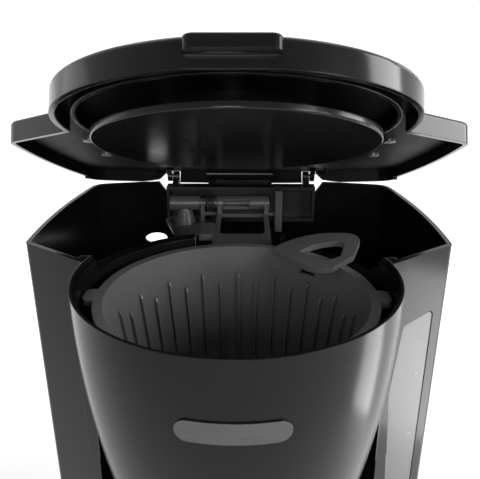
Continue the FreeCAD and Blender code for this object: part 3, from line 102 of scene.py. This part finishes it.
def plastic(name, tone, rough, grain=2600.0, strength=0.08, edge=0.0006, tint=(1.0, 1.0, 1.03), spread=0.05,
            specular=0.5):
    """Moulded plastic: slightly uneven tone and gloss, and a fine moulded grain."""
    mat, nodes, links, shader, place = new_material(name)
    cloud = noise(nodes, links, place, 14.0, 4.0)
    low = tuple(tone * 0.92 * t for t in tint) + (1.0,)
    high = tuple(tone * 1.08 * t for t in tint) + (1.0,)
    links.new(ramp(nodes, links, cloud.outputs["Fac"], low, high), shader.inputs["Base Color"])
    haze = noise(nodes, links, place, 45.0, 5.0, 0.6)
    glossy, dull = grey(rough * (1 - spread)), grey(rough * (1 + spread))
    links.new(ramp(nodes, links, haze.outputs["Fac"], glossy, dull), shader.inputs["Roughness"])
    fine = noise(nodes, links, place, grain, 2.0)
    bumped(nodes, links, shader, fine.outputs["Fac"], strength, GRAIN_DEPTH, edge)
    shader.inputs["Specular IOR Level"].default_value = specular
    return mat


def metal(name, colour, rough, stretch=(1.0, 1.0, 1.0), grain=900.0, strength=0.12, edge=0.0004):
    """Plain metal with a drawn or cast grain."""
    mat, nodes, links, shader, place = new_material(name)
    mapping = nodes.new("ShaderNodeMapping")
    mapping.inputs["Scale"].default_value = stretch
    links.new(place.outputs["Object"], mapping.inputs["Vector"])
    tex = nodes.new("ShaderNodeTexNoise")
    tex.inputs["Scale"].default_value = grain
    tex.inputs["Detail"].default_value = 4.0
    links.new(mapping.outputs["Vector"], tex.inputs["Vector"])
    low = tuple(c * 0.85 for c in colour) + (1.0,)
    high = tuple(min(1.0, c * 1.1) for c in colour) + (1.0,)
    links.new(ramp(nodes, links, tex.outputs["Fac"], low, high), shader.inputs["Base Color"])
    links.new(ramp(nodes, links, tex.outputs["Fac"], grey(rough * 0.8), grey(rough * 1.2)),
              shader.inputs["Roughness"])
    bumped(nodes, links, shader, tex.outputs["Fac"], strength, GRAIN_DEPTH, edge)
    shader.inputs["Metallic"].default_value = 1.0
    return mat


def rubber(name, tone, rough=0.62, through=0.0, tint=(1.0, 1.0, 1.0)):
    """Soft rubber, silicone or woven sleeve; through is how much light passes it."""
    mat, nodes, links, shader, place = new_material(name)
    cloud = noise(nodes, links, place, 60.0, 4.0)
    low = tuple(tone * 0.85 * t for t in tint) + (1.0,)
    high = tuple(tone * 1.1 * t for t in tint) + (1.0,)
    links.new(ramp(nodes, links, cloud.outputs["Fac"], low, high), shader.inputs["Base Color"])
    fine = noise(nodes, links, place, 1800.0, 2.0)
    links.new(ramp(nodes, links, fine.outputs["Fac"], grey(rough * 0.9), grey(rough * 1.1)),
              shader.inputs["Roughness"])
    bumped(nodes, links, shader, fine.outputs["Fac"], 0.15, GRAIN_DEPTH, 0.0004)
    shader.inputs["Transmission Weight"].default_value = through
    return mat


def glass(name):
    """Clear blown glass, very slightly uneven."""
    mat, nodes, links, shader, place = new_material(name)
    cloud = noise(nodes, links, place, 9.0, 2.0)
    links.new(ramp(nodes, links, cloud.outputs["Fac"], (0.93, 0.96, 0.96, 1), (0.97, 0.99, 0.98, 1)),
              shader.inputs["Base Color"])
    links.new(ramp(nodes, links, cloud.outputs["Fac"], grey(0.01), grey(0.03)), shader.inputs["Roughness"])
    bumped(nodes, links, shader, cloud.outputs["Fac"], 0.04, 0.0005)
    shader.inputs["Transmission Weight"].default_value = 1.0
    shader.inputs["IOR"].default_value = 1.5
    return mat


def smoked(name):
    """Translucent grey plastic with a faint frosted texture."""
    mat, nodes, links, shader, place = new_material(name)
    cloud = noise(nodes, links, place, 22.0, 4.0)
    links.new(ramp(nodes, links, cloud.outputs["Fac"], (0.16, 0.16, 0.157, 1), (0.19, 0.19, 0.187, 1)),
              shader.inputs["Base Color"])
    fine = noise(nodes, links, place, 1500.0, 2.0)
    links.new(ramp(nodes, links, fine.outputs["Fac"], grey(0.30), grey(0.40)), shader.inputs["Roughness"])
    bumped(nodes, links, shader, fine.outputs["Fac"], 0.10, GRAIN_DEPTH, 0.0004)
    shader.inputs["Transmission Weight"].default_value = 0.35
    shader.inputs["IOR"].default_value = 1.49
    return mat


def grooved_plate(name):
    """Non-stick coating over turned rings."""
    mat, nodes, links, shader, place = new_material(name)
    low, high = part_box("warming_plate")
    mapping = nodes.new("ShaderNodeMapping")
    mapping.inputs["Location"].default_value = (-(low[0] + high[0]) / 2, -(low[1] + high[1]) / 2, 0.0)
    links.new(place.outputs["Object"], mapping.inputs["Vector"])
    wave = nodes.new("ShaderNodeTexWave")
    wave.wave_type = "RINGS"
    wave.rings_direction = "Z"
    wave.inputs["Scale"].default_value = 90.0
    wave.inputs["Distortion"].default_value = 0.0
    links.new(mapping.outputs["Vector"], wave.inputs["Vector"])
    speck = noise(nodes, links, place, 2200.0, 3.0)
    links.new(ramp(nodes, links, speck.outputs["Fac"], grey(0.012), grey(0.035)),
              shader.inputs["Base Color"])
    links.new(ramp(nodes, links, speck.outputs["Fac"], grey(0.36), grey(0.5)), shader.inputs["Roughness"])
    bumped(nodes, links, shader, wave.outputs["Fac"], 0.25, 0.0003, 0.0005)
    return mat


MATERIALS = {
    "charcoal_housing": plastic("charcoal_housing", 0.007, 0.17, strength=0.04, specular=0.18),
    "black_inner": plastic("black_inner", 0.005, 0.20, specular=0.35),
    "grey_basket": plastic("grey_basket", 0.115, 0.34, grain=2000.0, strength=0.06, specular=0.4),
    "satin_badge": metal("satin_badge", (0.12, 0.12, 0.123), 0.42, stretch=(0.05, 1.0, 1.0)),
    "smoked_window": smoked("smoked_window"),
    "soft_seal": rubber("soft_seal", 0.020),
    "silicone_hose": rubber("silicone_hose", 0.70, 0.45, through=0.35),
    "steel": metal("steel", (0.56, 0.56, 0.57), 0.3),
    "coated_plate": grooved_plate("coated_plate"),
    "cast_heater": metal("cast_heater", (0.62, 0.62, 0.63), 0.55, grain=500.0, strength=0.3),
    "fuse_sleeve": rubber("fuse_sleeve", 0.8, 0.9, tint=(1.0, 0.97, 0.9)),
    "carafe_glass": glass("carafe_glass"),
    "red_lens": plastic("red_lens", 0.5, 0.12, tint=(1.0, 0.05, 0.04)),
}

# nodes that look unlike the rest of their slot, among them painted shade on the liner and painted light on
# the hinge block and tubes
OWN = {
    "lid_shell": plastic("lid_gloss", 0.006, 0.14, strength=0.03, specular=0.28),
    "spray_disc": plastic("disc_gloss", 0.010, 0.16, strength=0.02, spread=0.15, specular=0.3),
    # painted shade: the lid liner is a darker, duller copy of the black plastic, standing in for the shade
    # under the opened lid
    "lid_liner": plastic("liner_painted_shade", 0.003, 0.5, specular=0.12),
    # painted light: the hinge block is a lighter copy of the black plastic, standing in for light in the
    # shaded niche
    "hinge_block": plastic("block_painted_light", 0.018, 0.36, grain=1800.0, strength=0.06),
}
# painted light: the water and spout tubes, their bracket and the riser socket get a much lighter grey than
# the black plastic of their slot, standing in for light in the shaded niche
PAINTED_LIGHT_TUBES = plastic("tube_painted_light", 0.090, 0.34, grain=1800.0, strength=0.05)
for tube_part in ("water_tube", "spout_tube", "tube_bracket", "riser_socket"):
    OWN[tube_part] = PAINTED_LIGHT_TUBES

PALE_MARK = plastic("pale_mark", 0.62, 0.5, strength=0.05, tint=(1.0, 1.0, 0.99))
GREY_EDGE = plastic("grey_edge", 0.16, 0.25, strength=0.04, tint=(1.0, 1.0, 0.99))

for part in frame["record"]["subparts"]:
    node = NODES[part["node"]]
    node.data.materials.clear()
    node.data.materials.append(OWN.get(part["node"], MATERIALS[part["material_slot"]]))


# ---------------------------------------------------------------- small pieces on the surfaces

RAY_START = 0.05         # rays towards a surface start this far in front of it
PRINT_HEIGHT = 0.00012   # of a printed mark over its surface
# a bead's section as (across, up), in parts of its width and height
BEAD_SECTION = [(-0.5, -0.3), (-0.5, 0.45), (-0.3, 0.9), (0.0, 1.0), (0.3, 0.9), (0.5, 0.45), (0.5, -0.3)]


def surface_tree(name):
    """Search tree of a node's mesh, for laying small pieces on its surface."""
    mesh = NODES[name].data
    points = [v.co.copy() for v in mesh.vertices]
    return BVHTree.FromPolygons(points, [tuple(p.vertices) for p in mesh.polygons])


def laid_on(tree, start, direction):
    """Where a ray from start meets the surface, and the surface's outward direction there."""
    place, normal, index, distance = tree.ray_cast(Vector(start), Vector(direction).normalized(), 1.0)
    if place is None:
        return None
    if normal.dot(Vector(direction)) > 0:
        normal = -normal
    return place, normal


def bead(name, samples, width, height, material, body, closed=False):
    """Low rounded bead along (place, normal) samples on a surface."""
    count, size = len(samples), len(BEAD_SECTION)
    verts, faces = [], []
    for i, (place, normal) in enumerate(samples):
        before = samples[(i - 1) % count][0] if closed or i else place
        after = samples[(i + 1) % count][0] if closed or i < count - 1 else place
        along = (after - before).normalized()
        side = along.cross(normal).normalized()
        verts += [place + side * (u * width) + normal * (v * height) for u, v in BEAD_SECTION]
    for i in range(count if closed else count - 1):
        a, b = i * size, (i + 1) % count * size
        faces += [(a + k, b + k, b + (k + 1) % size, a + (k + 1) % size) for k in range(size)]
    if not closed:
        faces.append(tuple(range(size)))
        faces.append(tuple(reversed(range((count - 1) * size, count * size))))
    mesh = bpy.data.meshes.new(name)
    mesh.from_pydata([tuple(v) for v in verts], [], faces)
    mesh.materials.append(material)
    for polygon in mesh.polygons:
        polygon.use_smooth = True
    piece = bpy.data.objects.new(name, mesh)
    bpy.context.scene.collection.objects.link(piece)
    bm = bmesh.new()
    bm.from_mesh(mesh)
    bmesh.ops.recalc_face_normals(bm, faces=bm.faces[:])
    bm.to_mesh(mesh)
    bm.free()
    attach(piece, body)


def outer_loop(name, outward):
    """Points round the edge of the flat front face of a node, in order."""
    bm = bmesh.new()
    bm.from_mesh(NODES[name].data)
    bmesh.ops.remove_doubles(bm, verts=bm.verts[:], dist=1e-6)
    reach = max(v.co.dot(outward) for v in bm.verts)
    front = {f for f in bm.faces if f.normal.dot(outward) > 0.999
             and all(reach - v.co.dot(outward) < 0.0002 for v in f.verts)}
    nexts = {}
    for face in front:
        for loop in face.loops:
            if sum(1 for f in loop.edge.link_faces if f in front) == 1:
                nexts[loop.vert.index] = loop.link_loop_next.vert
    start = index = min(nexts)
    points = []
    while not points or index != start:
        points.append(nexts[index].co.copy())
        index = nexts[index].index
    bm.free()
    return points


def window_face():
    """Direction that the water window faces: that of its largest faces that look forward."""
    sums = {}
    for p in NODES["water_window"].data.polygons:
        if p.normal.y < -0.2 and p.normal.x > 0.2:
            key = tuple(round(c, 2) for c in p.normal)
            sums[key] = sums.get(key, 0.0) + p.area
    return Vector(max(sums, key=sums.get)).normalized()


FRAME_WIDTH, FRAME_HEIGHT, FRAME_STEP = 0.0011, 0.0005, 0.004
LEVEL_COUNT = 7
LEVEL_LOW, LEVEL_SPACING = 0.018, 0.0195     # lowest mark over the window's lower edge, and between marks
LEVEL_ASIDE = 0.0032                         # the marks end this far beside the window's middle
LEVEL_LONG, LEVEL_SHORT, LEVEL_WIDTH = 0.0036, 0.002, 0.0005


def window_frame(loop, facing):
    """Thin frame round the water window."""
    samples = []
    for start, end in zip(loop, loop[1:] + loop[:1]):
        parts = max(1, int((end - start).length / FRAME_STEP))
        samples += [(start + (end - start) * (k / parts), facing) for k in range(parts)]
    bead("window_frame", samples, FRAME_WIDTH, FRAME_HEIGHT, GREY_EDGE, "housing", closed=True)


def level_marks(middle, facing):
    """Plain bars up the water window, every second one shorter."""
    low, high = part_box("water_window")
    tree = surface_tree("water_window")
    across = Vector((0, 0, 1)).cross(facing).normalized()
    for i in range(LEVEL_COUNT):
        length = LEVEL_SHORT if i % 2 else LEVEL_LONG
        spot = Vector((middle.x, middle.y, low[2] + LEVEL_LOW + i * LEVEL_SPACING)) + across * LEVEL_ASIDE
        ends = [laid_on(tree, spot + facing * RAY_START + across * u, -facing) for u in (-length, 0.0)]
        if all(ends):
            (start, normal), (end, _) = ends
            line = [(start + (end - start) * (k / 4), normal) for k in range(5)]
            bead("level_mark_%d" % (i + 1), line, LEVEL_WIDTH, PRINT_HEIGHT, PALE_MARK, "housing")


def window_trim():
    facing = window_face()
    loop = outer_loop("water_window", facing)
    window_frame(loop, facing)
    level_marks(sum(loop, Vector()) / len(loop), facing)


CUP_COUNT = 6
CUP_LOW, CUP_SPACING = 0.020, 0.0115         # lowest mark over the carafe's foot, and between marks
CUP_AZIMUTH = -62.0                          # degrees from the front, to the left
CUP_LONG, CUP_SHORT = 11.0, 7.0              # degrees round the carafe
CUP_WIDTH = 0.0008
CUP_RAY_START = 0.12                         # from the carafe's axis


def carafe_marks():
    """Plain cup marks on the carafe, every second one shorter."""
    low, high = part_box("carafe_glass")
    axis = Vector(((low[0] + high[0]) / 2, (low[1] + high[1]) / 2, 0))
    tree = surface_tree("carafe_glass")
    for i in range(CUP_COUNT):
        z = low[2] + CUP_LOW + i * CUP_SPACING
        reach = CUP_SHORT if i % 2 else CUP_LONG
        samples = []
        for k in range(9):
            a = math.radians(CUP_AZIMUTH + reach * (k / 8 - 0.5))
            out = Vector((math.sin(a), -math.cos(a), 0))
            hit = laid_on(tree, axis + out * CUP_RAY_START + Vector((0, 0, z)), -out)
            if hit:
                samples.append(hit)
        if len(samples) > 2:
            bead("cup_mark_%d" % (i + 1), samples, CUP_WIDTH, PRINT_HEIGHT, PALE_MARK, "carafe")


OFF_RADIUS, OFF_DROP, OFF_WIDTH = 0.0014, 0.0030, 0.0005
ON_ASIDE, ON_RISE, ON_LENGTH, ON_WIDTH = 0.0072, 0.0022, 0.0028, 0.0006


def switch_marks():
    """Plain ring and bar on the rocker."""
    low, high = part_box("rocker_switch")
    tree = surface_tree("rocker_switch")

    def on_rocker(x, z):
        """The rocker's face, x and z away from its middle."""
        start = ((low[0] + high[0]) / 2 + x, low[1] - RAY_START, (low[2] + high[2]) / 2 + z)
        return laid_on(tree, start, (0, 1, 0))

    turns = [2 * math.pi * i / 24 for i in range(24)]
    ring = [on_rocker(OFF_RADIUS * math.cos(a), OFF_RADIUS * math.sin(a) - OFF_DROP) for a in turns]
    if all(ring):
        bead("off_mark", ring, OFF_WIDTH, PRINT_HEIGHT, PALE_MARK, "switch", closed=True)
    bar = [on_rocker(ON_ASIDE, ON_RISE + ON_LENGTH * k / 4) for k in range(5)]
    if all(bar):
        bead("on_mark", bar, ON_WIDTH, PRINT_HEIGHT, PALE_MARK, "switch")


window_trim()
carafe_marks()
switch_marks()


# ---------------------------------------------------------------- stage, light and camera

FLOOR_HALF = 40.0
FLOOR_TONE = 0.90
# painted light: the floor's glow behind the object lifts the shade that the object casts there
GLOW_FROM_Y, GLOW_TO_Y, GLOW = 0.15, 0.75, 0.6   # the floor shines softly behind the object
WORLD_FRONT, WORLD_BACK = 0.26, 1.05             # brightness of the studio in front and behind
SENSOR, FOCAL_LENGTH = 36.0, 44.2125             # millimetres
CAMERA_AT = (0.0049, -0.2830, 0.4059)
CAMERA_DOWN, CAMERA_TURN = 20.44, -0.78          # degrees below level, and towards the left


def pale(name, tone):
    """Matt paper-like surface."""
    mat, nodes, links, shader, place = new_material(name)
    cloud = noise(nodes, links, place, 0.8, 2.0)
    links.new(ramp(nodes, links, cloud.outputs["Fac"], grey(tone * 0.99), grey(tone)),
              shader.inputs["Base Color"])
    shader.inputs["Roughness"].default_value = 0.9
    shader.inputs["Specular IOR Level"].default_value = 0.1
    return mat


def make_floor():
    """Pale floor, with a painted glow behind the object that lifts the shade there."""
    mesh = bpy.data.meshes.new("floor")
    bm = bmesh.new()
    bmesh.ops.create_grid(bm, x_segments=8, y_segments=8, size=FLOOR_HALF)
    bm.to_mesh(mesh)
    bm.free()
    floor = bpy.data.objects.new("floor", mesh)
    bpy.context.scene.collection.objects.link(floor)
    mat = pale("floor_pale", FLOOR_TONE)
    nodes, links = mat.node_tree.nodes, mat.node_tree.links
    shader, place = nodes["Principled BSDF"], nodes["Texture Coordinate"]
    split = nodes.new("ShaderNodeSeparateXYZ")
    links.new(place.outputs["Object"], split.inputs["Vector"])
    # painted light: the floor's emission rises towards the back, lifting the shade behind the object
    glow = nodes.new("ShaderNodeMapRange")
    glow.inputs["From Min"].default_value = GLOW_FROM_Y
    glow.inputs["From Max"].default_value = GLOW_TO_Y
    glow.inputs["To Max"].default_value = GLOW
    links.new(split.outputs["Y"], glow.inputs["Value"])
    links.new(glow.outputs["Result"], shader.inputs["Emission Strength"])
    shader.inputs["Emission Color"].default_value = (1.0, 1.0, 1.0, 1.0)
    mesh.materials.append(mat)


def make_world():
    """Soft white studio, bright behind the object and dimmer in front of it."""
    world = bpy.data.worlds.new("studio")
    bpy.context.scene.world = world
    world.use_nodes = True
    nodes, links = world.node_tree.nodes, world.node_tree.links
    back = nodes["Background"]
    place = nodes.new("ShaderNodeTexCoord")
    split = nodes.new("ShaderNodeSeparateXYZ")
    links.new(place.outputs["Generated"], split.inputs["Vector"])
    fade = nodes.new("ShaderNodeMapRange")
    fade.inputs["From Min"].default_value = -0.7
    fade.inputs["From Max"].default_value = 0.5
    fade.inputs["To Min"].default_value = WORLD_FRONT
    fade.inputs["To Max"].default_value = WORLD_BACK
    links.new(split.outputs["Y"], fade.inputs["Value"])
    links.new(fade.outputs["Result"], back.inputs["Strength"])
    back.inputs["Color"].default_value = (1.0, 1.0, 1.0, 1.0)


def area_light(name, at, to, size, power, size_y=None):
    """Square light, or a rectangle of size by size_y, that faces a point."""
    data = bpy.data.lights.new(name, "AREA")
    data.energy = power
    data.size = size
    if size_y:
        data.shape = "RECTANGLE"
        data.size_y = size_y
    light = bpy.data.objects.new(name, data)
    bpy.context.scene.collection.objects.link(light)
    light.location = at
    light.rotation_euler = (Vector(to) - Vector(at)).to_track_quat("-Z", "Y").to_euler()


def make_camera():
    """Above and in front of the brew head, looking down into it."""
    data = bpy.data.cameras.new("camera")
    data.sensor_width = SENSOR
    data.lens = FOCAL_LENGTH
    data.clip_start = 0.01
    camera = bpy.data.objects.new("camera", data)
    bpy.context.scene.collection.objects.link(camera)
    down, turn = math.radians(CAMERA_DOWN), math.radians(CAMERA_TURN)
    forward = Vector((math.sin(turn) * math.cos(down), math.cos(turn) * math.cos(down), -math.sin(down)))
    right = forward.cross(Vector((0, 0, 1))).normalized()
    up = right.cross(forward)
    matrix = Matrix((right, up, -forward)).transposed().to_4x4()
    matrix.translation = Vector(CAMERA_AT)
    camera.matrix_world = matrix
    bpy.context.scene.camera = camera


make_floor()
make_world()
area_light("side_right", (1.00, 0.12, 0.64), (0.0, -0.05, 0.34), size=0.42, power=5.0, size_y=0.5)
area_light("low_right", (0.37, 0.0, 0.08), (0.05, -0.09, 0.25), size=0.13, power=0.36, size_y=0.17)
area_light("side_left", (-1.00, 0.25, 0.35), (0.0, -0.05, 0.30), size=0.5, power=0.7, size_y=0.6)
area_light("basket_key", (0.80, -0.62, 0.64), (-0.04, -0.02, 0.26), size=0.35, power=4.5)
area_light("front_fill", (-0.10, -0.90, 0.55), (0.0, 0.10, 0.28), size=0.30, power=2.2)
area_light("floor_back", (0.0, 1.2, 1.6), (0.0, 1.0, 0.0), size=2.0, power=12.0)
make_camera()
bpy.context.scene.view_settings.view_transform = "Standard"
